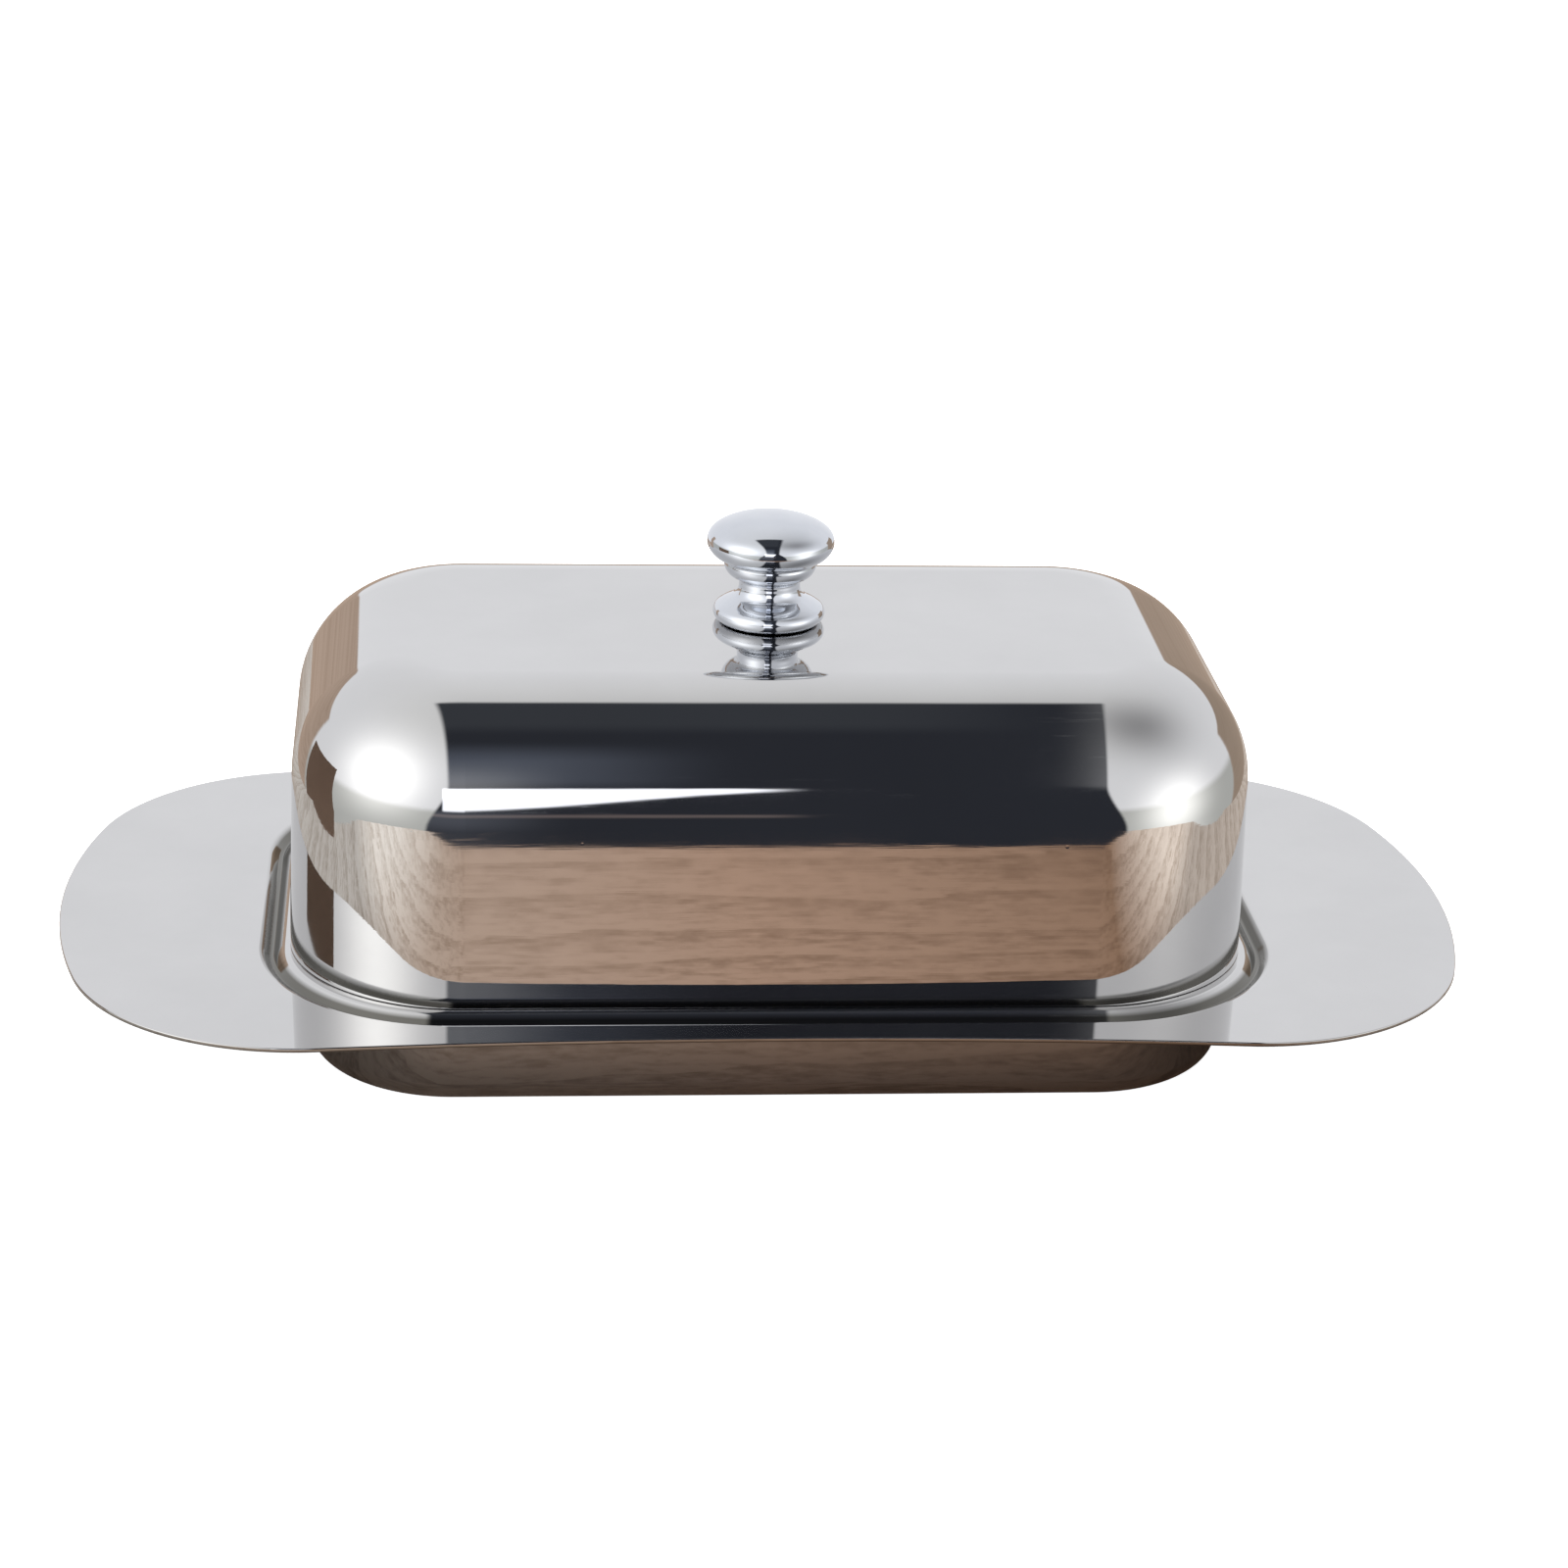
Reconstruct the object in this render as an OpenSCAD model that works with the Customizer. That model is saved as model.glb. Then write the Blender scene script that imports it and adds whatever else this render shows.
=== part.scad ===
// Covered butter dish: a tray pressed from one sheet with a carrying wing at each
// end, a deep drawn cover, and a turned knob held by a screw from inside.
// Millimetres, +Z up, origin in the middle of the face that the tray rests on.

/* [Sheet metal] */
// Thickness of the tray and cover sheet
sheet = 0.6; // [0.5:0.1:0.7]

/* [Tray] */
// Length over both wings
tray_length = 190; // [186:1:196]
// Width in the middle of the long sides, where the sheet draws in
tray_waist = 91.6; // [90:0.2:94]
// Height of the flat rim above the table
rim_height = 14.4; // [13:0.1:17]
// Radius of the curved end of a wing
wing_end_radius = 93; // [85:1:110]
// Radius of the rounded corners of a wing
wing_corner_radius = 31; // [27:1:33]
// Radius of the shallow hollow along each long side
side_hollow_radius = 770; // [600:10:1500]

/* [Groove, seat and well] */
// Length over the groove that runs round the cover
groove_length = 136; // [135.6:0.1:137]
// Width over the groove
groove_width = 83.6; // [83.2:0.1:84.4]
// Outer corner radius of the groove in plan
groove_corner = 26; // [25:0.5:27]
// Depth of the groove below the rim
groove_depth = 1.1; // [1:0.1:1.2]
// Slope of both flanks of the groove, in degrees
groove_slope = 42; // [40:1:50]
// Height of the seat for the cover above the rim
seat_rise = 0.3; // [0:0.1:0.3]
// Distance from the edge of the groove to the wall of the well
well_inset = 6.8; // [6.6:0.1:7.2]
// Radius between the seat and the well, on the food side
seat_bend = 1.4; // [1:0.1:1.5]
// Radius round the floor of the well, on the food side
floor_bend = 2.6; // [2:0.1:4]
// Draft of the wall of the well, in degrees
well_draft = 3; // [1:0.5:5]

/* [Cover] */
// Length of the cover at its open edge
cover_length = 127.4; // [127:0.1:127.4]
// Width of the cover at its open edge
cover_width = 75; // [74.6:0.1:75]
// Height of the cover from its open edge to its top
cover_height = 40.1; // [38:0.1:46]
// Corner radius of the cover in plan, at its open edge
cover_corner = 23; // [21:0.5:26]
// Radius round the top of the cover
shoulder_radius = 16.2; // [12:0.2:18]
// Draft of the cover wall, in degrees
cover_draft = 1.2; // [0.5:0.1:2]
// Clearance between the open edge and the seat
seat_gap = 0.05; // [0.02:0.01:0.1]
// Hole in the top for the knob screw
screw_hole = 4.4; // [4.2:0.1:5]

/* [Knob] */
// Diameter of the head
head_diameter = 17; // [16:0.2:20]
// Diameter of the collar under the head
collar_diameter = 12.4; // [12:0.1:13.5]
// Diameter of the neck
neck_diameter = 8.2; // [7.6:0.1:9]
// Diameter of the foot that stands on the cover
foot_diameter = 15; // [14.5:0.1:16]
// Height of the knob above the cover
knob_height = 14.6; // [13.6:0.1:16]
// Depth of the tapped hole
tapped_depth = 9; // [7:0.5:10]

/* [Screw and washer] */
// Thread diameter of the screw
thread_diameter = 4; // [4:0.5:4]
// Length of the screw under its head
screw_length = 8; // [6:0.5:9]
// Diameter of the pan head
pan_diameter = 8; // [7.5:0.1:8.5]
// Height of the pan head
pan_height = 2.4; // [2:0.1:3]
// Outer diameter of the washer
washer_diameter = 12; // [9:0.5:14]
// Thickness of the washer
washer_thickness = 0.8; // [0.6:0.1:1.2]

/* [Hidden] */
$fn = 64;
bend_steps = 6;
round_steps = 12;
long_steps = 16;
lap = 1;
thread_play = 0.1;
seat_height = rim_height + seat_rise;
cover_bottom = seat_height + seat_gap;
cover_top = cover_bottom + cover_height;
cover_inside_top = cover_top - sheet;
washer_bottom = cover_inside_top - washer_thickness;

// Points of an arc, from one angle to the other
function arc(x, y, radius, from, to, steps = bend_steps) =
    [for (i = [0 : steps])
        let (a = from + (to - from) * i / steps)
        [x + radius * cos(a), y + radius * sin(a)]];

function reversed(points) = [for (i = [len(points) - 1 : -1 : 0]) points[i]];

// A rounded rectangle as a solid slab that starts at height z
module slab(length, width, corner, z, thickness) {
    x = length / 2 - corner;
    y = width / 2 - corner;
    translate([0, 0, z])
        linear_extrude(thickness)
            union() {
                square([length, 2 * y], center = true);
                square([2 * x, width], center = true);
                for (sx = [-1, 1], sy = [-1, 1])
                    translate([sx * x, sy * y]) circle(corner);
            }
}

// A section drawn at its inset from the edge (x) and its height (y), carried
// round a rounded rectangle of the given size
module round_the_edge(length, width, corner) {
    x = length / 2 - corner;
    y = width / 2 - corner;
    for (q = [0 : 3]) {
        sx = (q == 0 || q == 3) ? 1 : -1;
        sy = (q < 2) ? 1 : -1;
        translate([sx * x, sy * y, 0])
            rotate([0, 0, 90 * q])
                rotate_extrude(angle = 90)
                    translate([corner, 0]) mirror([1, 0]) children();
    }
    for (turn = [0, 180]) rotate([0, 0, turn]) {
        translate([x + corner, y, 0])
            rotate([90, 0, 0])
                linear_extrude(2 * y) mirror([1, 0]) children();
        translate([-x, y + corner, 0])
            rotate([90, 0, 90])
                linear_extrude(2 * x) mirror([1, 0]) children();
    }
}

// Corner of the wing outline in the first quadrant: its centre is one corner
// radius inside the end arc and one corner radius short of the hollow side
wing_end_x = tray_length / 2 - wing_end_radius;
hollow_y = tray_waist / 2 + side_hollow_radius;
end_reach = wing_end_radius - wing_corner_radius;
side_reach = side_hollow_radius + wing_corner_radius;
centres_apart = norm([wing_end_x, hollow_y]);
along = (side_reach * side_reach - end_reach * end_reach
    + centres_apart * centres_apart) / (2 * centres_apart);
across = sqrt(side_reach * side_reach - along * along);
corner_x = (along * wing_end_x + across * hollow_y) / centres_apart;
corner_y = hollow_y - (along * hollow_y - across * wing_end_x) / centres_apart;
end_angle = atan2(corner_y, corner_x - wing_end_x);
side_angle = atan2(hollow_y - corner_y, -corner_x);

module wing_outline() {
    quadrant = concat(
        arc(wing_end_x, 0, wing_end_radius, 0, end_angle, round_steps),
        arc(corner_x, corner_y, wing_corner_radius, end_angle, side_angle, long_steps),
        arc(0, hollow_y, side_hollow_radius, side_angle - 180, -90, round_steps));
    half = concat(quadrant, reversed([for (p = quadrant) [-p[0], p[1]]]));
    polygon(concat(half, reversed([for (p = half) [p[0], -p[1]]])));
}

// The groove: a flank down from the rim, a round bottom, and a flank up to the seat
crest_bend = 2 * sheet;
valley_bend = sheet;
bends = crest_bend + valley_bend;
valley_z = rim_height - groove_depth + valley_bend;
valley_inset = bends * sin(groove_slope)
    + (groove_depth - bends * (1 - cos(groove_slope))) / tan(groove_slope);
seat_inset = valley_inset + bends * sin(groove_slope)
    + (groove_depth + seat_rise - bends * (1 - cos(groove_slope))) / tan(groove_slope);

// The well: a bend down from the seat, a drafted wall, and a bend into the floor
wall_turn = 90 - well_draft;
floor_bend_z = sheet + floor_bend;
wall_drop = seat_height - seat_bend * (1 - cos(wall_turn))
    - (floor_bend_z - floor_bend * cos(wall_turn));
floor_inset = well_inset - seat_bend * (1 - sin(wall_turn))
    + wall_drop * tan(well_draft) + floor_bend * sin(wall_turn);

// Section of the pressed tray from the rim to the floor; extra is 0 for the food
// side and one sheet thickness for the underside
function tray_side(extra) = concat(
    [[-lap, rim_height - extra]],
    arc(0, rim_height - crest_bend, crest_bend - extra, 90, 90 - groove_slope),
    arc(valley_inset, valley_z, valley_bend + extra, 270 - groove_slope, 270 + groove_slope,
        round_steps),
    arc(seat_inset, seat_height - crest_bend, crest_bend - extra, 90 + groove_slope, 90),
    arc(well_inset - seat_bend, seat_height - seat_bend, seat_bend - extra, 90, 90 - wall_turn),
    arc(floor_inset, floor_bend_z, floor_bend + extra, 270 - wall_turn, 270),
    [[floor_inset + lap, sheet - extra]]);

module tray() {
    floor_length = groove_length - 2 * (floor_inset + lap);
    floor_width = groove_width - 2 * (floor_inset + lap);
    color("silver") {
        translate([0, 0, rim_height - sheet])
            difference() {
                linear_extrude(sheet) wing_outline();
                slab(groove_length + 2 * lap, groove_width + 2 * lap, groove_corner + lap,
                    -lap, sheet + 2 * lap);
            }
        round_the_edge(groove_length, groove_width, groove_corner)
            polygon(concat(tray_side(0), reversed(tray_side(sheet))));
        slab(floor_length, floor_width, groove_corner - floor_inset - lap, 0, sheet);
    }
}

// Section of the cover from its open edge to its flat top; the shoulder is one
// arc that meets the drafted wall and the top
shoulder_z = cover_top - shoulder_radius;
shoulder_inset = (shoulder_radius + (shoulder_z - cover_bottom) * sin(cover_draft))
    / cos(cover_draft);

function cover_side(extra) = concat(
    [[extra / cos(cover_draft), cover_bottom]],
    arc(shoulder_inset, shoulder_z, shoulder_radius - extra, 180 - cover_draft, 90, long_steps),
    [[shoulder_inset + lap, cover_top - extra]]);

module cover_shell() {
    top_length = cover_length - 2 * (shoulder_inset + lap);
    top_width = cover_width - 2 * (shoulder_inset + lap);
    color("gainsboro") {
        round_the_edge(cover_length, cover_width, cover_corner)
            polygon(concat(cover_side(0), reversed(cover_side(sheet))));
        difference() {
            slab(top_length, top_width, cover_corner - shoulder_inset - lap,
                cover_inside_top, sheet);
            cylinder(d = screw_hole, h = 2 * cover_top);
        }
    }
}

// Half section of the turned knob: a rounded foot, a hollow skirt up to the neck, a
// rounded collar, and a head that is fuller than a half round
foot_round = 2.2;
foot_middle_z = 1.35;
foot_end = 60;
skirt_radius = 1.8;
skirt_z = 4.95;
skirt_start = 250;
neck_z = 5.7;
collar_round = 2.1;
collar_rise = 2;
collar_z = 8.1;
collar_start = -80;
collar_end = 10;
head_round = 2.6;
head_drop = 2.5;
head_z = 11.2;
head_start = -75;
head_fullness = 0.85;

// Points of an upright oval round, from one angle to the other
function oval(x, y, half_width, half_height, from, to) =
    [for (i = [0 : round_steps])
        let (a = from + (to - from) * i / round_steps)
        [x + half_width * cos(a), y + half_height * sin(a)]];

module knob_section() {
    neck_r = neck_diameter / 2;
    head_r = head_diameter / 2;
    head_rise = knob_height - head_z;
    polygon(concat(
        [[0, 0]],
        oval(foot_diameter / 2 - foot_round, foot_middle_z, foot_round, foot_middle_z,
            -90, foot_end),
        arc(neck_r + skirt_radius, skirt_z, skirt_radius, skirt_start, 180),
        [[neck_r, neck_z]],
        oval(collar_diameter / 2 - collar_round, collar_z, collar_round, collar_rise,
            collar_start, collar_end),
        oval(head_r - head_round, head_z, head_round, head_drop, head_start, 0),
        [for (i = [1 : long_steps])
            let (a = 90 * i / long_steps)
            [head_r * pow(cos(a), head_fullness),
                head_z + head_rise * pow(sin(a), head_fullness)]]));
}

module knob() {
    color("whitesmoke")
        translate([0, 0, cover_top])
            difference() {
                rotate_extrude() knob_section();
                translate([0, 0, -lap])
                    cylinder(d = thread_diameter, h = tapped_depth + lap);
            }
}

module knob_washer() {
    color("gray")
        translate([0, 0, washer_bottom])
            difference() {
                cylinder(d = washer_diameter, h = washer_thickness);
                translate([0, 0, -lap])
                    cylinder(d = screw_hole, h = washer_thickness + 2 * lap);
            }
}

// Pan head screw that comes up from inside the cover; the head has a cross slot
slot_width = 1.2;
slot_length = 4.4;
slot_depth = 1.3;
pan_round = 1.2;
hair = 0.01;

module knob_screw() {
    color("darkgray")
        translate([0, 0, washer_bottom])
            difference() {
                union() {
                    translate([0, 0, -hair])
                        cylinder(d = thread_diameter - thread_play, h = screw_length + hair);
                    rotate_extrude()
                        polygon(concat(
                            [[0, 0], [pan_diameter / 2, 0]],
                            arc(pan_diameter / 2 - pan_round, pan_round - pan_height, pan_round, 0, -90),
                            [[0, -pan_height]]));
                }
                for (turn = [0, 90])
                    rotate([0, 0, turn])
                        translate([-slot_length / 2, -slot_width / 2, -pan_height - lap])
                            cube([slot_length, slot_width, slot_depth + lap]);
            }
}

tray();
cover_shell();
knob();
knob_washer();
knob_screw();
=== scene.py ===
# A covered butter dish in mirror polished stainless steel: a pressed tray with two
# wings, a deep drawn cover that lifts off, and a turned knob screwed on from inside.
import math

import bmesh
import bpy
from mathutils import Matrix, Vector


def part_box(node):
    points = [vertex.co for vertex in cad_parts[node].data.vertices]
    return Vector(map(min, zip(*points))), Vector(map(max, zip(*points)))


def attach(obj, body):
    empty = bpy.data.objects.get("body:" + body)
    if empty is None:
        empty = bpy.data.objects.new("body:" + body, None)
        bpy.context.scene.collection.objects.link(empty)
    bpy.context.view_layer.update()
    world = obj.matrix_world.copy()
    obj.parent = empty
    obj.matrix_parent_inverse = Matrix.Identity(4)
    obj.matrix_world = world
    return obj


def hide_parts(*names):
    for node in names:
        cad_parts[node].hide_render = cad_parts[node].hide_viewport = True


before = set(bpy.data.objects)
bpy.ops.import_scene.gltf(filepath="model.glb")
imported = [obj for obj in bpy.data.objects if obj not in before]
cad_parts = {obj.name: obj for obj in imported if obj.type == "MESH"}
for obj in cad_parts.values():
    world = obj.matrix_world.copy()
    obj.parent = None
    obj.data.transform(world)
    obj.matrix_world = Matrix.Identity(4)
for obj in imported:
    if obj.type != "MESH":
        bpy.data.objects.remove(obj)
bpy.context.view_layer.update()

# ---------------------------------------------------------------------------
# The tray. One sheet of 0.6 mm stainless, pressed with a shallow well, then a
# raised seat and a groove for the cover, and trimmed to a waisted outline that
# leaves a wing to hold at each end. The cut edge is deburred and all is polished.
# ---------------------------------------------------------------------------
mm = 0.001
sheet = 0.6 * mm
# Points in a quarter of an outline: along its end, round its corner, along its side.
quarter_end = 10
quarter_corner = 40
quarter_side = 24
# Steps round a bend of the section.
short_bend_steps = 6
bend_steps = 10
floor_bend_steps = 12
edge_steps = 4


def arc(x, z, radius, start, stop, steps, facing=1):
    """Points of a bend in a section: (inset, height, normal out, normal up). The
    surface faces away from the centre of the bend, or to it when facing is -1."""
    points = []
    for step in range(steps + 1):
        turn = math.radians(start + (stop - start) * step / steps)
        across, up = math.cos(turn), math.sin(turn)
        points.append((x + radius * across, z + radius * up, -facing * across, facing * up))
    return points


def plan_ring(half_length, half_width, corner, inset):
    """A rounded rectangle seen from above, that many metres inside its edge, as
    (x, y, outward x, outward y), with the same count of points at any inset."""
    centre_x = half_length - corner
    centre_y = half_width - corner
    radius = corner - inset
    quarter = []
    for step in range(quarter_end):
        quarter.append((centre_x + radius, centre_y * step / quarter_end, 1.0, 0.0))
    for step in range(quarter_corner):
        turn = math.pi / 2 * step / quarter_corner
        out_x, out_y = math.cos(turn), math.sin(turn)
        quarter.append((centre_x + radius * out_x, centre_y + radius * out_y, out_x, out_y))
    for step in range(quarter_side + 1):
        quarter.append((centre_x * (1 - step / quarter_side), centre_y + radius, 0.0, 1.0))
    return four_quarters(quarter)


def four_quarters(quarter):
    """Carries the points of the first quarter round all four."""
    half = quarter + [(-x, y, -u, v) for x, y, u, v in quarter[-2::-1]]
    return half + [(x, -y, u, -v) for x, y, u, v in half[-2:0:-1]]


def swept_rings(half_length, half_width, corner, section):
    """Carries a section round a rounded rectangle: rings of (place, normal)."""
    rings = []
    for inset, height, out, up in section:
        ring = []
        for x, y, u, v in plan_ring(half_length, half_width, corner, inset):
            ring.append(((x, y, height), (u * out, v * out, up)))
        rings.append(ring)
    return rings


def shrunk_rings(ring, goal, shares, up):
    """Flat rings between the last ring and its goal, a list of (x, y)."""
    rings = []
    for share in shares:
        rings.append([
            (((1 - share) * place[0] + share * x, (1 - share) * place[1] + share * y, place[2]),
             (0.0, 0.0, up))
            for (place, _), (x, y) in zip(ring, goal)])
    return rings


def skin(name, rings, closed=False, caps=()):
    """Joins the rings with quads and keeps the true normals of the surface. caps are
    flat ends as (ring number, height, up): each is closed with a fan to its middle."""
    count = len(rings[0])
    places = [place for ring in rings for place, _ in ring]
    normals = [normal for ring in rings for _, normal in ring]
    faces = []
    for row in range(len(rings) if closed else len(rings) - 1):
        here, there = row * count, (row + 1) % len(rings) * count
        for step in range(count):
            after = (step + 1) % count
            faces.append((here + step, there + step, there + after, here + after))
    for ring_number, height, up in caps:
        middle = len(places)
        places.append((0.0, 0.0, height))
        normals.append((0.0, 0.0, up))
        start = ring_number * count
        for step in range(count):
            faces.append((start + step, start + (step + 1) % count, middle))
    mesh = bpy.data.meshes.new(name)
    mesh.from_pydata(places, [], faces)
    shape = bmesh.new()
    shape.from_mesh(mesh)
    bmesh.ops.recalc_face_normals(shape, faces=shape.faces)
    shape.to_mesh(mesh)
    shape.free()
    for face in mesh.polygons:
        face.use_smooth = True
    mesh.normals_split_custom_set_from_vertices([Vector(n).normalized() for n in normals])
    piece = bpy.data.objects.new(name, mesh)
    bpy.context.scene.collection.objects.link(piece)
    return piece


tray_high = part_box("tray")[1]
rim_top = 14.4 * mm
seat_top = 14.7 * mm
groove_half = (68.0 * mm, 41.8 * mm)
groove_corner = 26.0 * mm
groove_slope = 42.0
crest_bend = 1.2 * mm
valley_bend = 0.6 * mm
valley_inset = 1.911 * mm
seat_inset = 4.159 * mm
well_inset = 6.8 * mm
seat_bend = 1.4 * mm
floor_bend = 2.6 * mm
floor_inset = 9.944 * mm
wall_turn = 87.0
groove_floor = rim_top - 1.1 * mm


def tray_section(extra, facing):
    """The pressed section from the rim to the floor: the food side when extra is 0
    and facing is 1, the underside when extra is one sheet and facing is -1."""
    return (
        arc(0, rim_top - crest_bend, crest_bend - extra,
            90, 90 - groove_slope, short_bend_steps, facing)
        + arc(valley_inset, groove_floor + valley_bend, valley_bend + extra,
              270 - groove_slope, 270 + groove_slope, bend_steps, -facing)
        + arc(seat_inset, seat_top - crest_bend, crest_bend - extra,
              90 + groove_slope, 90, short_bend_steps, facing)
        + arc(well_inset - seat_bend, seat_top - seat_bend, seat_bend - extra,
              90, 90 - wall_turn, bend_steps, facing)
        + arc(floor_inset, sheet + floor_bend, floor_bend + extra,
              270 - wall_turn, 270, floor_bend_steps, -facing))


wing_end_radius = 93.0 * mm
wing_corner_radius = 31.0 * mm
side_hollow_radius = 770.0 * mm
wing_end_x = tray_high.x - wing_end_radius
hollow_y = 45.8 * mm + side_hollow_radius
end_reach = wing_end_radius - wing_corner_radius
side_reach = side_hollow_radius + wing_corner_radius
apart = math.hypot(wing_end_x, hollow_y)
along = (side_reach ** 2 - end_reach ** 2 + apart ** 2) / (2 * apart)
across = math.sqrt(side_reach ** 2 - along ** 2)
corner_x = (along * wing_end_x + across * hollow_y) / apart
corner_y = hollow_y - (along * hollow_y - across * wing_end_x) / apart
end_angle = math.atan2(corner_y, corner_x - wing_end_x)
side_angle = math.atan2(hollow_y - corner_y, -corner_x)


def wing_ring(inset):
    """The trimmed outline, that many metres inside the cut edge."""
    quarter = []
    for step in range(quarter_end):
        turn = end_angle * step / quarter_end
        quarter.append((wing_end_x, 0, wing_end_radius - inset, turn, 1))
    for step in range(quarter_corner):
        turn = end_angle + (side_angle - end_angle) * step / quarter_corner
        quarter.append((corner_x, corner_y, wing_corner_radius - inset, turn, 1))
    for step in range(quarter_side + 1):
        turn = side_angle + (math.pi / 2 - side_angle) * step / quarter_side
        quarter.append((0, hollow_y, side_hollow_radius + inset, turn + math.pi, -1))
    points = []
    for x, y, radius, turn, side in quarter:
        u, v = math.cos(turn), math.sin(turn)
        points.append((x + radius * u, y + radius * v, side * u, side * v))
    return four_quarters(points)


deburr = 0.16 * mm
edge_section = (arc(deburr, rim_top - deburr, deburr, 90, 180, edge_steps)
                + arc(deburr, rim_top - sheet + deburr, deburr, 180, 270, edge_steps))
edge_rings = []
for inset, height, out, up in edge_section:
    edge_rings.append([((x, y, height), (u * out, v * out, up))
                       for x, y, u, v in wing_ring(inset)])
food_side = swept_rings(*groove_half, groove_corner, tray_section(0.0, 1))
underside = swept_rings(*groove_half, groove_corner, tray_section(sheet, -1))
floor_middle = 0.02
floor_goal = [(x * floor_middle, y * floor_middle) for x, y, _, _ in
              plan_ring(*groove_half, groove_corner, floor_inset)]
floor_shares = (0.12, 0.35, 0.7, 1.0)
top_floor = shrunk_rings(food_side[-1], floor_goal, floor_shares, 1.0)
low_floor = shrunk_rings(underside[-1], floor_goal, floor_shares, -1.0)
tray_rings = (top_floor[::-1] + food_side[::-1] + edge_rings + underside + low_floor)
tray = skin("tray_pressing", tray_rings,
            caps=((0, sheet, 1.0), (len(tray_rings) - 1, 0.0, -1.0)))


def add(material, kind, **values):
    """A new shader node with the given properties and socket values."""
    node = material.node_tree.nodes.new("ShaderNode" + kind)
    for name, value in values.items():
        if hasattr(node, name):
            setattr(node, name, value)
        else:
            node.inputs[name.replace("_", " ")].default_value = value
    return node


def remap(material, source, low, high, start=0.0, stop=1.0, **values):
    """Carries a source from the span low to high over to the span start to stop."""
    node = add(material, "MapRange", **values)
    spans = zip(("From Min", "From Max", "To Min", "To Max"), (low, high, start, stop))
    for name, value in spans:
        node.inputs[name].default_value = value
    material.node_tree.links.new(source, node.inputs["Value"])
    return node.outputs["Result"]


def blend(material, source, low, low_colour, high, high_colour):
    """Turns a source into a colour that goes from one to the other between low and high."""
    node = add(material, "ValToRGB")
    node.color_ramp.elements[0].position = low
    node.color_ramp.elements[0].color = (*low_colour, 1.0)
    node.color_ramp.elements[1].position = high
    node.color_ramp.elements[1].color = (*high_colour, 1.0)
    material.node_tree.links.new(source, node.inputs["Fac"])
    return node


def textured(material, place, kind, **values):
    """A pattern node that is laid out by the given place."""
    node = add(material, kind, **values)
    material.node_tree.links.new(place, node.inputs["Vector"])
    return node


def product(material, first, second):
    """One source times another."""
    node = add(material, "Math", operation="MULTIPLY")
    material.node_tree.links.new(first, node.inputs[0])
    material.node_tree.links.new(second, node.inputs[1])
    return node.outputs["Value"]


def relief(material, height, under, **values):
    """Bumps of the given height, on top of the relief under them if there is one."""
    node = add(material, "Bump", **values)
    material.node_tree.links.new(height, node.inputs["Height"])
    if under:
        material.node_tree.links.new(under, node.inputs["Normal"])
    return node.outputs["Normal"]


def metal(name):
    """A new metal material, with its surface, the place on the piece and its linker."""
    material = bpy.data.materials.new(name)
    material.use_nodes = True
    surface = material.node_tree.nodes["Principled BSDF"]
    surface.inputs["Metallic"].default_value = 1.0
    place = add(material, "TexCoord").outputs["Object"]
    return material, surface, place, material.node_tree.links.new


dull_share = 0.945
knock_depth = 0.000005
hairline_depth = 0.000004


def polished_steel(name, tone, cloudiness, wave, wave_size):
    """Buffed stainless sheet: hairlines from the buffing mop, cloudy patches where
    it was wiped, the slight waviness that pressed sheet keeps, and a few tiny knocks."""
    material, surface, place, link = metal(name)
    cloud = textured(material, place, "TexNoise", Scale=45.0, Detail=4.0, Roughness=0.6)
    gloss = remap(material, cloud.outputs["Fac"], 0.3, 0.75, *cloudiness)
    stretch = textured(material, place, "Mapping")
    stretch.inputs["Scale"].default_value = (90.0, 2600.0, 2600.0)
    stretch.inputs["Rotation"].default_value = (0.0, 0.0, 0.35)
    hairline = textured(material, stretch.outputs["Vector"], "TexNoise",
                        Scale=1.0, Detail=2.0, Roughness=0.5)
    rough = add(material, "Math", operation="ADD")
    link(gloss, rough.inputs[0])
    link(remap(material, hairline.outputs["Fac"], 0.66, 0.74, 0.0, 0.05), rough.inputs[1])
    link(rough.outputs["Value"], surface.inputs["Roughness"])
    dull = [part * dull_share for part in tone]
    shade = blend(material, cloud.outputs["Fac"], 0.3, dull, 0.7, tone)
    link(shade.outputs["Color"], surface.inputs["Base Color"])
    swell = textured(material, place, "TexNoise", Scale=wave_size, Detail=1.0, Roughness=0.4)
    ripple = relief(material, swell.outputs["Fac"], None, Strength=1.0, Distance=wave)
    scratch = relief(material, hairline.outputs["Fac"], ripple,
                     Strength=0.25, Distance=hairline_depth)
    spots = textured(material, place, "TexVoronoi", Scale=330.0)
    speck = remap(material, spots.outputs["Distance"], 0.085, 0.02)
    worn = remap(material, cloud.outputs["Fac"], 0.58, 0.66)
    knock = relief(material, product(material, speck, worn), scratch,
                   Strength=0.5, Distance=-knock_depth)
    link(knock, surface.inputs["Normal"])
    return material


tray_polish = polished_steel("tray_polish", (0.62, 0.615, 0.61), (0.035, 0.075), 0.00001, 28.0)
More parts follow.
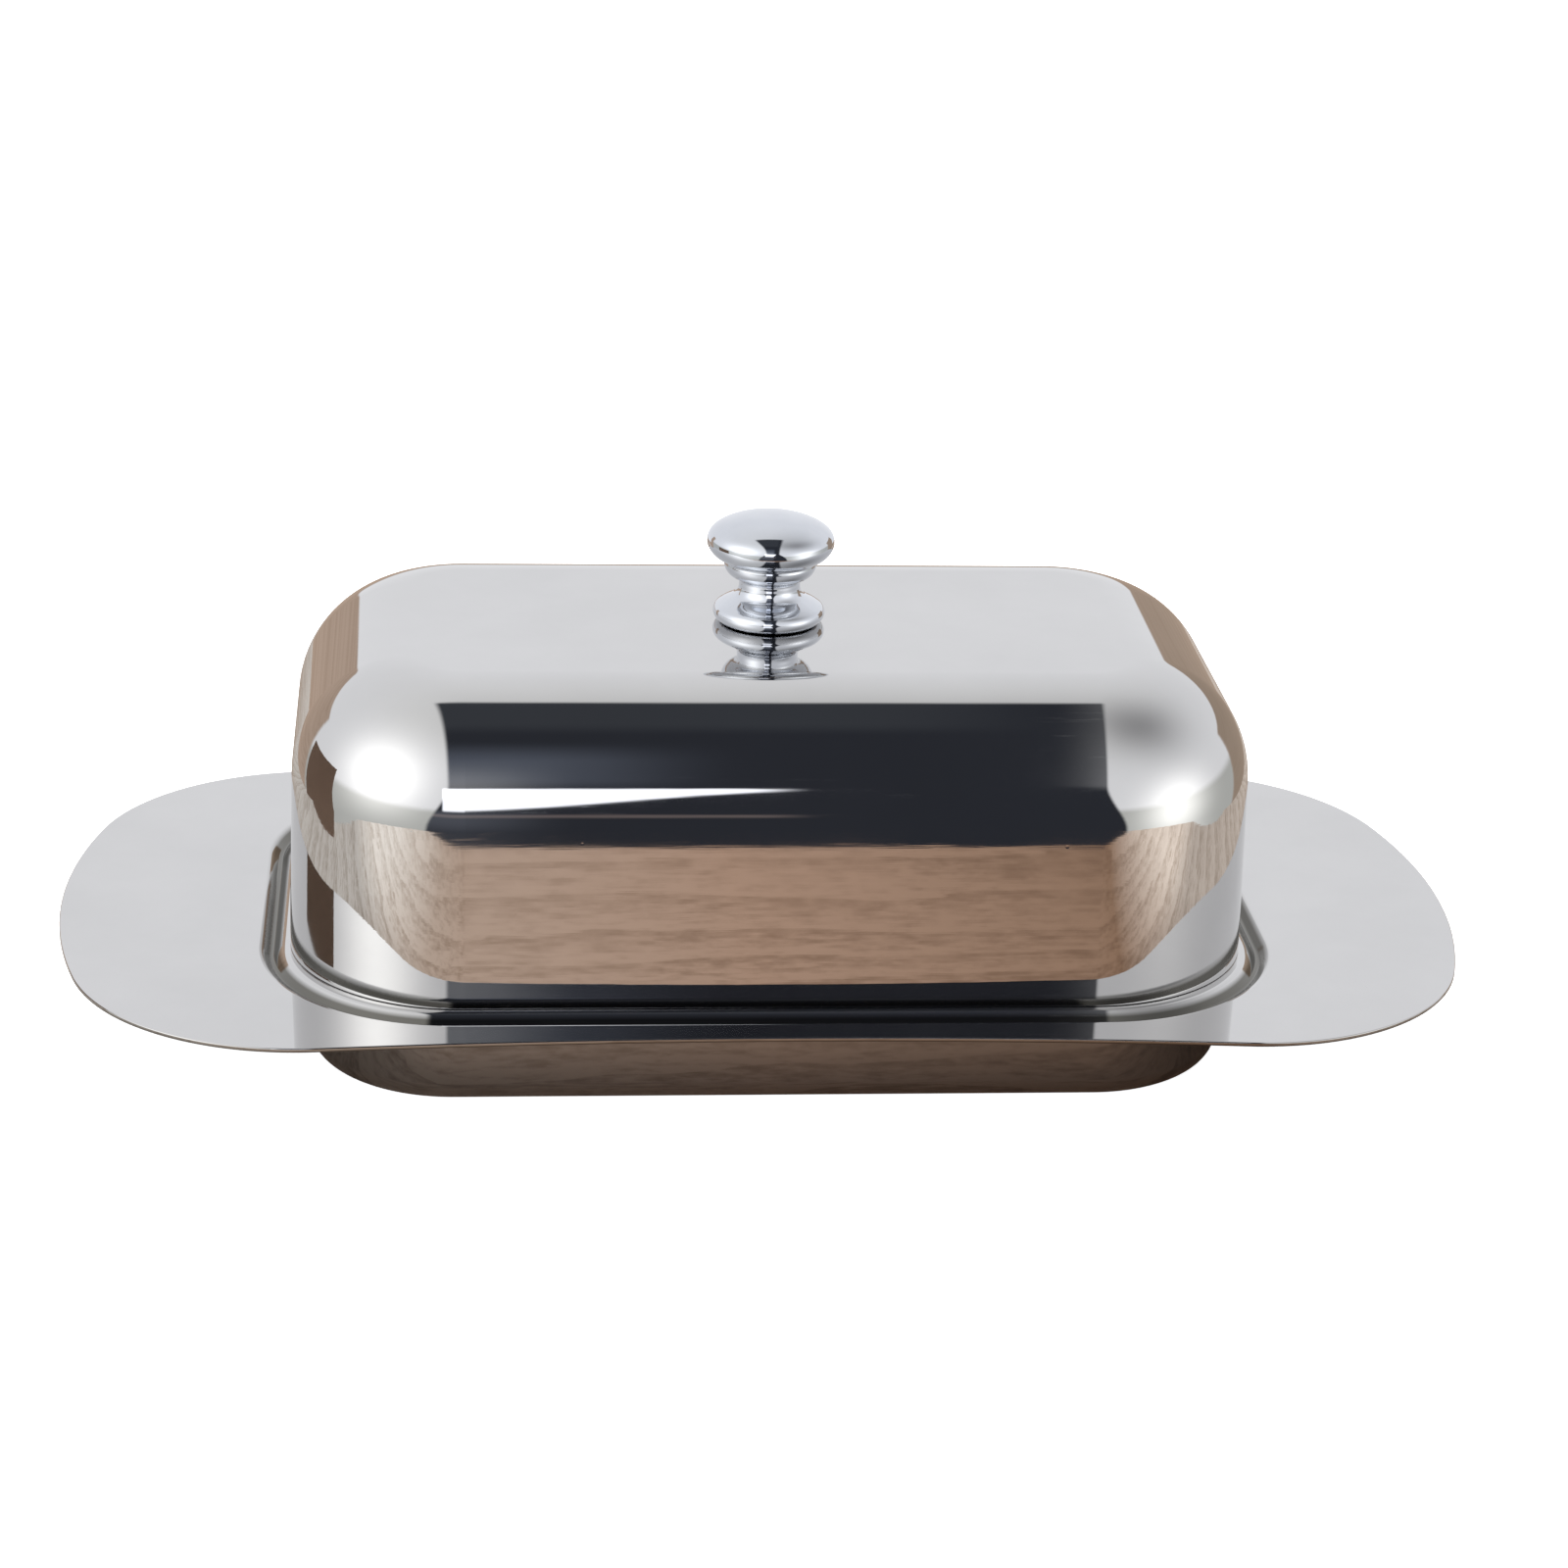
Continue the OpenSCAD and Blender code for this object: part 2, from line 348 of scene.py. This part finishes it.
# Painted shade: the tray's colour is darkened in the groove, where shade falls deep in
# it. Each pair of heights is where the painted shade starts and where it is full.
groove_shade_top = (14.38 * mm, 13.9 * mm)
groove_shade_bottom = (12.95 * mm, 13.2 * mm)
groove_shade_colour = (0.16, 0.155, 0.14)
tray_link = tray_polish.node_tree.links.new
tray_colour = tray_polish.node_tree.nodes["Principled BSDF"].inputs["Base Color"]
tray_place = add(tray_polish, "TexCoord")
tray_split = textured(tray_polish, tray_place.outputs["Object"], "SeparateXYZ")
groove_shade_mask = product(tray_polish, remap(tray_polish, tray_split.outputs["Z"], *groove_shade_top),
                      remap(tray_polish, tray_split.outputs["Z"], *groove_shade_bottom))
# The painted shade colour is mixed over the polish's own colour in the groove.
painted_groove_shade = add(tray_polish, "MixRGB", blend_type="MIX", Color2=(*groove_shade_colour, 1.0))
tray_link(groove_shade_mask, painted_groove_shade.inputs["Fac"])
tray_link(tray_colour.links[0].from_socket, painted_groove_shade.inputs["Color1"])
tray_link(painted_groove_shade.outputs["Color"], tray_colour)
tray.data.materials.append(tray_polish)
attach(tray, "tray")
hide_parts("tray")

# ---------------------------------------------------------------------------
# The cover. One deep draw in the same sheet, with a round shoulder, a little
# draft so that it leaves the die, and a trimmed edge that stands on the seat.
# The middle of the top is pierced for the knob screw.
# ---------------------------------------------------------------------------
cover_low, cover_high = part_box("cover_shell")
cover_half = (cover_high.x, cover_high.y)
cover_corner = 23.0 * mm
shoulder = 16.2 * mm
draft = 1.2
shoulder_steps = 44
screw_hole_radius = 2.2 * mm
screw_hole_edge = 0.05 * mm
shoulder_z = cover_high.z - shoulder
draft_run = (shoulder_z - cover_low.z) * math.sin(math.radians(draft))
shoulder_inset = (shoulder + draft_run) / math.cos(math.radians(draft))
edge_round = 0.14 * mm


def cover_side(extra, side):
    """Shoulder and wall of one face of the cover, from the top down."""
    return arc(shoulder_inset, shoulder_z, shoulder - extra,
               90, 180 - draft, shoulder_steps, side)


wall_foot = cover_low.z + edge_round
cover_outside = cover_side(0.0, 1)
cover_inside = cover_side(sheet, -1)
outer_foot = arc(edge_round, wall_foot, edge_round, 180, 270, edge_steps)
inner_foot = arc(sheet - edge_round, wall_foot, edge_round, 270, 360, edge_steps)
cover_rings = swept_rings(*cover_half, cover_corner,
                          cover_outside + outer_foot + inner_foot + cover_inside[::-1])
hole_goal = []
for place, _ in cover_rings[0]:
    turn = math.atan2(place[1], place[0])
    hole_goal.append((screw_hole_radius * math.cos(turn), screw_hole_radius * math.sin(turn)))
top_shares = (0.08, 0.25, 0.5, 0.75, 0.9, 0.998)
outer_top = shrunk_rings(cover_rings[0], hole_goal, top_shares, 1.0)
inner_top = shrunk_rings(cover_rings[-1], hole_goal, top_shares, -1.0)
hole_wall = []
for height in (cover_high.z - sheet + screw_hole_edge, cover_high.z - screw_hole_edge):
    hole_wall.append([((x, y, height), (-x / screw_hole_radius, -y / screw_hole_radius, 0.0))
                      for x, y in hole_goal])
cover = skin("cover_drawing", outer_top[::-1] + cover_rings + inner_top + hole_wall, closed=True)
cover.data.materials.append(
    polished_steel("cover_polish", (0.62, 0.615, 0.61), (0.015, 0.045), 0.000012, 24.0))
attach(cover, "cover")
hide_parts("cover_shell")

# ---------------------------------------------------------------------------
# The knob. Turned from bar to a foot, a flared skirt, a neck, a thin collar and a
# mushroom head, then bright chrome plated. It is tapped from below for the screw.
# ---------------------------------------------------------------------------
knob_low, knob_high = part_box("knob")
knob_turns = 160
knob_height = knob_high.z - knob_low.z
knob_profile = (
    (5.9, 0.0), (6.75, 0.15), (7.3, 0.65), (7.5, 1.35), (7.25, 2.05), (6.5, 2.6), (5.3, 3.24),
    (4.74, 3.57), (4.34, 4.05), (4.13, 4.64), (4.1, 5.2), (4.12, 5.75), (4.46, 6.13),
    (5.15, 6.37), (5.71, 6.81), (6.07, 7.42), (6.2, 8.0), (6.17, 8.45), (6.57, 8.79),
    (7.39, 9.15), (8.03, 9.77), (8.41, 10.5), (8.5, 11.15), (8.33, 11.95), (7.75, 12.7),
    (6.75, 13.35), (5.4, 13.92), (3.9, 14.3), (2.1, 14.53), (0.0, 14.6))


def smooth_profile(points, steps):
    """A smooth line through the turned outline's points, as (radius, height, tangent)."""
    line = []
    for number in range(len(points) - 1):
        a = points[max(number - 1, 0)]
        b, c = points[number], points[number + 1]
        d = points[min(number + 2, len(points) - 1)]
        for step in range(steps):
            t = step / steps
            spot, slope = [], []
            for k in (0, 1):
                lead, trail = (c[k] - a[k]) / 2, (d[k] - b[k]) / 2
                spot.append((2 * t ** 3 - 3 * t * t + 1) * b[k] + (t ** 3 - 2 * t * t + t) * lead
                            + (3 * t * t - 2 * t ** 3) * c[k] + (t ** 3 - t * t) * trail)
                slope.append((6 * t * t - 6 * t) * (b[k] - c[k])
                             + (3 * t * t - 4 * t + 1) * lead + (3 * t * t - 2 * t) * trail)
            line.append((max(spot[0], 0.0), spot[1], slope[0], slope[1]))
    return line


def turned(line, base, turns):
    """The rings of a piece from the lathe: each point of the line is (radius, height,
    normal out, normal up), and the piece stands on the height base."""
    rings = []
    for radius, height, out, up in line:
        ring = []
        for step in range(turns):
            u, v = math.cos(math.tau * step / turns), math.sin(math.tau * step / turns)
            ring.append(((radius * u, radius * v, base + height), (out * u, out * v, up)))
        rings.append(ring)
    return rings


profile_steps = 5
axis_hole = 0.02 * mm
knob_line = [(r * mm, z * mm, dz, -dr)
             for r, z, dr, dz in smooth_profile(knob_profile, profile_steps)]
knob_line.append((axis_hole, knob_height, 0.0, 1.0))
tap_radius = 2.0 * mm
tap_depth = 9.0 * mm
tap_chamfer = 0.2 * mm
foot_inner_radius = 5.8 * mm
bore_line = [
    (axis_hole, tap_depth, 0.0, -1.0),
    (tap_radius, tap_depth, -0.7, -0.7),
    (tap_radius, tap_chamfer, -1.0, 0.0),
    (tap_radius + tap_chamfer, 0.0, -0.2, -1.0),
    (foot_inner_radius, 0.0, 0.0, -1.0)]
knob_rings = turned(bore_line + knob_line, knob_low.z, knob_turns)
knob = skin("knob_turning", knob_rings,
            caps=((0, knob_low.z + tap_depth, -1.0),
                  (len(knob_rings) - 1, knob_high.z, 1.0)))


def chrome_plate(name):
    """Bright chrome: a cool mirror with faint turning marks and finger bloom."""
    material, surface, place, link = metal(name)
    bloom = textured(material, place, "TexNoise", Scale=160.0, Detail=3.0, Roughness=0.55)
    gloss = remap(material, bloom.outputs["Fac"], 0.35, 0.75, 0.02, 0.07)
    link(gloss, surface.inputs["Roughness"])
    shade = blend(material, bloom.outputs["Fac"],
                  0.3, (0.60, 0.62, 0.66), 0.7, (0.66, 0.68, 0.715))
    link(shade.outputs["Color"], surface.inputs["Base Color"])
    rings = textured(material, place, "TexWave",
                     wave_type="BANDS", bands_direction="Z", Scale=900.0)
    marks = relief(material, rings.outputs["Fac"], None, Strength=0.3, Distance=0.000001)
    link(marks, surface.inputs["Normal"])
    return material


knob.data.materials.append(chrome_plate("knob_plate"))
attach(knob, "cover")
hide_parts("knob")

# ---------------------------------------------------------------------------
# The washer. A plain stamped disc that spreads the pull of the screw over the
# thin sheet inside the cover.
# ---------------------------------------------------------------------------
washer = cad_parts["knob_washer"]
washer.data.materials.clear()
washer.data.materials.append(
    polished_steel("washer_satin", (0.60, 0.60, 0.60), (0.22, 0.34), 0.000004, 300.0))

# ---------------------------------------------------------------------------
# The screw. A cross slotted M4 pan head that comes up from inside the cover and
# draws the knob down on the sheet.
# ---------------------------------------------------------------------------
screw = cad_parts["knob_screw"]
screw.data.materials.clear()
screw.data.materials.append(
    polished_steel("screw_bright", (0.64, 0.64, 0.65), (0.12, 0.22), 0.000003, 400.0))

# ---------------------------------------------------------------------------
# The studio. A pale floor and a pale room, with a dark gap between its soft lights in
# front. Only the polish sees three things: a wooden board that the dish stands on, a
# dark block at its left, and a pale screen between the knob and the wall behind.
# ---------------------------------------------------------------------------


def plain_card(name, corners, colour, strength=0.0):
    """A flat piece of the stage in matt paint, which glows if strength is above 0."""
    mesh = bpy.data.meshes.new(name)
    mesh.from_pydata(corners, [], [tuple(range(len(corners)))])
    card = bpy.data.objects.new(name, mesh)
    bpy.context.scene.collection.objects.link(card)
    material = bpy.data.materials.new(name + "_paint")
    material.use_nodes = True
    surface = material.node_tree.nodes["Principled BSDF"]
    surface.inputs["Base Color"].default_value = (*colour, 1.0)
    surface.inputs["Roughness"].default_value = 0.9
    if strength:
        surface.inputs["Emission Color"].default_value = (*colour, 1.0)
        surface.inputs["Emission Strength"].default_value = strength
    mesh.materials.append(material)
    return card


pale_room = (0.99, 1.00, 1.035)
floor_reach = 4.0
floor = plain_card("studio_floor", [
    (-floor_reach, -floor_reach, 0.0), (floor_reach, -floor_reach, 0.0),
    (floor_reach, floor_reach, 0.0), (-floor_reach, floor_reach, 0.0)], (0.9, 0.9, 0.9), 1.0)
floor.visible_glossy = False

board_half = (158 * mm, 190 * mm)
board_corner = 85 * mm
board_front = -138 * mm
board_height = 0.1 * mm
board_rim = [(x, y + board_front + board_half[1], board_height)
             for x, y, _, _ in plan_ring(*board_half, board_corner, 0.0)]
board = plain_card("studio_board", board_rim, (0.5, 0.33, 0.25))
block_x = -150 * mm
block_front = -20 * mm
block_back = 45 * mm
block_top = 55 * mm
block = plain_card("studio_block", [
    (block_x, block_front, 0.0), (block_x, block_back, 0.0),
    (block_x, block_back, block_top), (block_x, block_front, block_top)], (0.12, 0.075, 0.05))
screen_half = 45 * mm
screen_y = 40 * mm
screen_foot = 56 * mm
screen_top_edge = 95 * mm
screen = plain_card("studio_screen", [
    (-screen_half, screen_y, screen_foot), (screen_half, screen_y, screen_foot),
    (screen_half, screen_y, screen_top_edge), (-screen_half, screen_y, screen_top_edge)],
    pale_room, 1.0)
screen_paint = screen.data.materials[0].node_tree.nodes["Principled BSDF"]
screen_paint.inputs["Base Color"].default_value = (0.0, 0.0, 0.0, 1.0)
screen_paint.inputs["Specular IOR Level"].default_value = 0.0
for card in (board, block, screen):
    card.visible_camera = False
    card.visible_diffuse = False
    card.visible_shadow = False
    card.visible_transmission = False

# The board. Its grain runs from left to right. It is pale at both sides and darkest right
# of the middle, and painted shade darkens it near the dish, where the dish shades it.
wood = board.data.materials[0]
wood_link = wood.node_tree.links.new
wood_place = add(wood, "TexCoord").outputs["Object"]
wood_stretch = textured(wood, wood_place, "Mapping")
wood_stretch.inputs["Scale"].default_value = (0.28, 1.0, 1.0)
wood_grain = textured(wood, wood_stretch.outputs["Vector"], "TexWave", wave_type="BANDS",
                      bands_direction="Y", wave_profile="SAW", Scale=24.0, Distortion=17.0,
                      Detail=5.0, Detail_Scale=0.55, Detail_Roughness=0.6)
wood_fibre = textured(wood, wood_stretch.outputs["Vector"], "TexNoise",
                      Scale=620.0, Detail=5.0, Roughness=0.7)
grain_share = 0.2
wood_mix = add(wood, "Math", operation="MULTIPLY_ADD")
wood_link(wood_grain.outputs["Fac"], wood_mix.inputs[0])
wood_mix.inputs[1].default_value = grain_share
wood_link(wood_fibre.outputs["Fac"], wood_mix.inputs[2])
wood_tone = blend(wood, wood_mix.outputs["Value"],
                  0.42, (0.62, 0.575, 0.53), 0.66, (0.98, 0.98, 0.98))
wood_split = textured(wood, wood_place, "SeparateXYZ")
wood_reach = 0.15
wood_across = remap(wood, wood_split.outputs["X"], -wood_reach, wood_reach)
wood_shade = blend(wood, wood_across, 0.08, (1.0, 0.93, 0.85), 0.92, (1.0, 0.86, 0.74))
for position, colour in ((0.28, (0.56, 0.435, 0.345)), (0.5, (0.48, 0.31, 0.215)),
                         (0.72, (0.305, 0.178, 0.107))):
    wood_shade.color_ramp.elements.new(position).color = (*colour, 1.0)
# Painted shade: the board's colour is darkened towards the dish, standing in for its shade.
board_dish_shade = remap(wood, wood_split.outputs["Y"], -80 * mm, -55 * mm, 1.0, 0.58)
wood_colour = wood_shade.outputs["Color"]
for layer in (wood_tone.outputs["Color"], board_dish_shade):
    wood_layer = add(wood, "MixRGB", blend_type="MULTIPLY", Fac=1.0)
    wood_link(wood_colour, wood_layer.inputs["Color1"])
    wood_link(layer, wood_layer.inputs["Color2"])
    wood_colour = wood_layer.outputs["Color"]
wood_link(wood_colour, wood.node_tree.nodes["Principled BSDF"].inputs["Base Color"])

room = bpy.data.worlds.new("studio_room")
room.use_nodes = True
bpy.context.scene.world = room
join = room.node_tree.links.new
room_surface = room.node_tree.nodes["Background"]
room_out = room.node_tree.nodes["World Output"]
look = add(room, "TexCoord")
split = add(room, "SeparateXYZ")
join(look.outputs["Generated"], split.inputs["Vector"])


def math_node(operation, *sources):
    """One sum in the room's light: a source is a number or another node's output."""
    node = add(room, "Math", operation=operation)
    for number, source in enumerate(sources):
        if isinstance(source, (int, float)):
            node.inputs[number].default_value = source
        else:
            join(source, node.inputs[number])
    return node.outputs[0]


def ramp(source, low, high, start=0.0, stop=1.0):
    """A smooth step of a source from start at low to stop at high."""
    return remap(room, source, low, high, start, stop, interpolation_type="SMOOTHSTEP")


def lobe(azimuth, elevation, spread):
    """A round soft light seen in the given direction: azimuth 0 is the front."""
    a, e = math.radians(azimuth), math.radians(elevation)
    node = add(room, "VectorMath", operation="DOT_PRODUCT")
    join(look.outputs["Generated"], node.inputs[0])
    node.inputs[1].default_value = (math.sin(a) * math.cos(e), -math.cos(a) * math.cos(e),
                                    math.sin(e))
    nearness = math_node("SUBTRACT", node.outputs["Value"], 1.0)
    return math_node("EXPONENT", math_node("MULTIPLY", nearness, spread))


def tint(amount, colour, below):
    """Lays a colour over what is below, by that amount."""
    node = add(room, "MixRGB", blend_type="MIX", Color2=(*colour, 1.0))
    join(amount, node.inputs["Fac"])
    if isinstance(below, tuple):
        node.inputs["Color1"].default_value = (*below, 1.0)
    else:
        join(below, node.inputs["Color1"])
    return node.outputs["Color"]


def glow(amount, colour, below):
    """Adds a light of that colour to what is below."""
    scaled = add(room, "MixRGB", blend_type="MULTIPLY", Fac=1.0, Color2=(*colour, 1.0))
    join(amount, scaled.inputs["Color1"])
    node = add(room, "MixRGB", blend_type="ADD", Fac=1.0)
    join(below, node.inputs["Color1"])
    join(scaled.outputs["Color"], node.inputs["Color2"])
    return node.outputs["Color"]


# Directions in degrees: to_right of the front, over from the front across the top to the
# back, rise above level, and round_degrees from the front round either side to the back.
degrees = 180 / math.pi
to_right = math_node("MULTIPLY", math_node("ARCSINE", split.outputs["X"]), degrees)
toward = math_node("MULTIPLY", split.outputs["Y"], -1.0)
over = math_node("MULTIPLY", math_node("ARCTAN2", split.outputs["Z"], toward), degrees)
rise = math_node("MULTIPLY", math_node("ARCSINE", split.outputs["Z"]), degrees)
round_azimuth = math_node("ARCTAN2", math_node("ABSOLUTE", split.outputs["X"]), toward)
round_degrees = math_node("MULTIPLY", round_azimuth, degrees)

# The walls, the table below, a soft light at each side and a dim patch high at the right.
light = tint(ramp(rise, 25.0, 80.0), (0.95, 0.955, 0.965), pale_room)
light = tint(ramp(rise, 3.0, -3.0), (0.58, 0.59, 0.57), light)
light = glow(lobe(-60, 20, 9.0), (1.4, 1.4, 1.37), light)
light = glow(lobe(60, -6, 13.0), (1.3, 1.3, 1.27), light)
light = tint(math_node("MULTIPLY", lobe(80, 62, 9.0), 0.75), (0.22, 0.22, 0.23), light)

# The brown wooden wall behind, low in the room, with its grain and its darker right side.
wood_side = math_node("ADD", round_degrees, ramp(to_right, 0.0, 10.0, 0.0, 11.0))
screen_top = math_node("ADD", ramp(round_degrees, 158.0, 170.0, 13.0, -3.0),
                       ramp(to_right, 2.0, -8.0, 0.0, 2.8))
under_top = ramp(math_node("SUBTRACT", rise, screen_top), 0.8, -0.8)
wood_screen = math_node("MULTIPLY", ramp(wood_side, 128.0, 132.0), under_top)
light = tint(wood_screen, (0.56, 0.43, 0.345), light)
grain_stretch = add(room, "Mapping")
grain_stretch.inputs["Scale"].default_value = (2.0, 2.0, 34.0)
join(look.outputs["Generated"], grain_stretch.inputs["Vector"])
grain = add(room, "TexNoise", Scale=1.5, Detail=5.0, Roughness=0.65, Distortion=0.8)
join(grain_stretch.outputs["Vector"], grain.inputs["Vector"])
dark_grain = math_node("MULTIPLY", wood_screen, ramp(grain.outputs["Fac"], 0.42, 0.62, 0.0, 0.5))
light = tint(dark_grain, (0.40, 0.29, 0.215), light)
right_wood = math_node("MULTIPLY", wood_screen, ramp(to_right, 5.0, 30.0))
light = tint(math_node("MULTIPLY", right_wood, 0.75), (0.38, 0.30, 0.235), light)

# The dark gap in front, which widens downward and ends over the top of the room.
gap_width = ramp(over, 25.0, -19.0, 10.5, 24.0)
offset = math_node("ABSOLUTE", to_right)
gap_side = math_node("SUBTRACT", offset, gap_width)
gap = math_node("MULTIPLY", ramp(gap_side, 1.6, -1.6), ramp(over, 109.0, 105.0))
gap = math_node("MULTIPLY", gap, ramp(over, -80.0, -60.0))
light = tint(gap, (0.032, 0.035, 0.045), light)

# Faint light inside the gap: at its top, a haze at its left, and two veils lower down.
gap_top = math_node("MULTIPLY", ramp(over, 70.0, 84.0), ramp(to_right, 9.5, 6.0))
light = glow(math_node("MULTIPLY", gap, gap_top), (0.02, 0.022, 0.023), light)
haze = math_node("MULTIPLY", gap, ramp(to_right, 4.6, 0.6))
haze = math_node("MULTIPLY", haze, ramp(over, 16.0, 30.0))
light = glow(math_node("MULTIPLY", haze, ramp(over, 66.0, 44.0)), (0.08, 0.092, 0.12), light)
veil = math_node("MULTIPLY", gap, ramp(to_right, 2.0, 0.0))
veil_top = math_node("MULTIPLY", veil, ramp(over, 50.0, 20.0))
light = glow(math_node("MULTIPLY", veil_top, ramp(over, 12.0, 20.0)), (0.2, 0.2, 0.2), light)
veil_low = math_node("MULTIPLY", veil, ramp(over, 3.0, -3.0))
light = glow(math_node("MULTIPLY", veil_low, ramp(over, -28.0, -8.0)), (0.07, 0.075, 0.09), light)

# A bright wedge across the left of the gap that narrows to the right, and a warm line
# low in the gap.
streak_low = ramp(to_right, -0.2, 5.6, 0.0, 19.0)
streak = math_node("SUBTRACT", over, streak_low)
streak = math_node("MULTIPLY", ramp(streak, -1.2, 1.6), ramp(over, 21.8, 19.6))
streak = math_node("MULTIPLY", streak, ramp(to_right, 5.4, 4.4))
streak = math_node("MULTIPLY", streak, ramp(offset, 15.0, 13.0))
light = glow(streak, (1.9, 1.95, 2.1), light)
ember = math_node("MULTIPLY", ramp(over, -7.0, -4.5), ramp(over, -2.0, -4.0))
ember = math_node("MULTIPLY", ember, ramp(to_right, 5.6, 4.6))
light = glow(math_node("MULTIPLY", ember, gap), (0.13, 0.10, 0.09), light)

# The camera sees plain white behind the dish; everything else sees the room.
join(light, room_surface.inputs["Color"])
backdrop = add(room, "Background", Color=(1.0, 1.0, 1.0, 1.0))
ray = add(room, "LightPath")
choose = add(room, "MixShader")
join(ray.outputs["Is Camera Ray"], choose.inputs["Fac"])
join(room_surface.outputs["Background"], choose.inputs[1])
join(backdrop.outputs["Background"], choose.inputs[2])
join(choose.outputs["Shader"], room_out.inputs["Surface"])

overhead_side = 1.6
overhead = bpy.data.lights.new("overhead_diffuser", "AREA")
overhead.shape = "RECTANGLE"
overhead.size = overhead_side
overhead.size_y = overhead_side
overhead.energy = 12.0
overhead_light = bpy.data.objects.new("overhead_diffuser", overhead)
overhead_light.location = (0.0, 0.1, 1.4)
overhead_light.visible_glossy = False
bpy.context.scene.collection.objects.link(overhead_light)

# ---------------------------------------------------------------------------
# The camera. A long lens a little left of the middle, looking down on the front of the
# dish and rolled by about two degrees.
# ---------------------------------------------------------------------------
camera_data = bpy.data.cameras.new("studio_camera")
camera_data.lens = 89.896
camera_data.sensor_width = 36.0
camera_data.clip_start = 0.01
camera = bpy.data.objects.new("studio_camera", camera_data)
bpy.context.scene.collection.objects.link(camera)
right = Vector((0.9962015, -0.0812150, 0.0314106))
back = Vector((-0.0870770, -0.9278494, 0.3626473))
up = back.cross(right)
camera.matrix_world = Matrix((
    (right.x, up.x, back.x, -0.0436314),
    (right.y, up.y, back.y, -0.4953206),
    (right.z, up.z, back.z, 0.2247072),
    (0.0, 0.0, 0.0, 1.0)))
bpy.context.scene.camera = camera
bpy.context.scene.view_settings.view_transform = "Standard"
